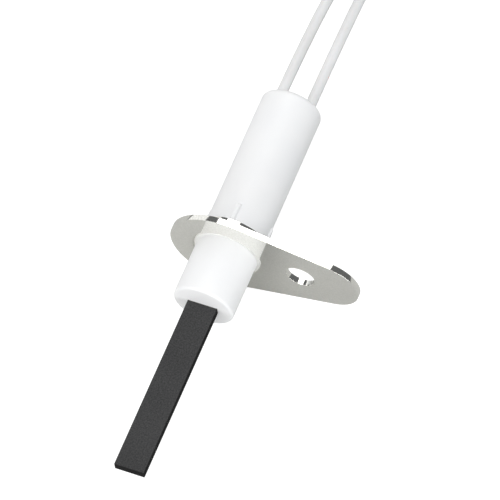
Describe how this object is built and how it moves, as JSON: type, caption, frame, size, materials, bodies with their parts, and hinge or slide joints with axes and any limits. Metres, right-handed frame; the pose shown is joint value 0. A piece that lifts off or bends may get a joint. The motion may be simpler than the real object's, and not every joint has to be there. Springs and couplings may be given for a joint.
{
  "type": "ignition electrode",
  "caption": "Hot-surface ignition electrode: flat dark ceramic blade in a round white ceramic holder, teardrop steel mounting flange, insulated leads to a small plug.",
  "frame": {"origin": "where the holder's axis meets the flange's mounting face, on the blade's side", "axes": "-Y along the axis towards the blade's tip, +X towards the flange's ear, +Z the normal of the blade's flat face"},
  "size_m": [0.0377, 0.1721, 0.0226],
  "materials": {
    "holder_ceramic": "smooth white fired alumina, satin glaze",
    "heater_ceramic": "dark grey silicon nitride, fine matte grain",
    "heater_conductor": "sintered tungsten carbide",
    "terminal_metal": "nickel-plated strip",
    "conductor": "tinned copper strands",
    "cement": "cast ceramic cement, rough",
    "seal_silicone": "cast silicone",
    "flange_steel": "satin stamped stainless sheet",
    "lead_insulation": "smooth white silicone insulation",
    "tie_plastic": "natural nylon",
    "plug_plastic": "moulded off-white nylon"
  },
  "bodies": {
    "root": {"ceramic_body": "holder_ceramic", "heater_blade": "heater_ceramic", "heater_track": "heater_conductor", "contact_pad_left": "terminal_metal", "contact_pad_right": "terminal_metal", "terminal_strap_left": "terminal_metal", "terminal_strap_right": "terminal_metal", "crimp_sleeve_left": "terminal_metal", "crimp_sleeve_right": "terminal_metal", "conductor_end_left": "conductor", "conductor_end_right": "conductor", "blade_cement": "cement", "collar_cement": "cement", "lead_seal": "seal_silicone", "flange_plate": "flange_steel", "lead_wire_left": "lead_insulation", "lead_wire_right": "lead_insulation", "lead_coil_left": "lead_insulation", "lead_coil_right": "lead_insulation", "lead_tail_left": "lead_insulation", "lead_tail_right": "lead_insulation", "coil_tie": "tie_plastic", "plug_housing": "plug_plastic", "plug_terminal_left": "terminal_metal", "plug_terminal_right": "terminal_metal"}
  },
  "joints": []
}
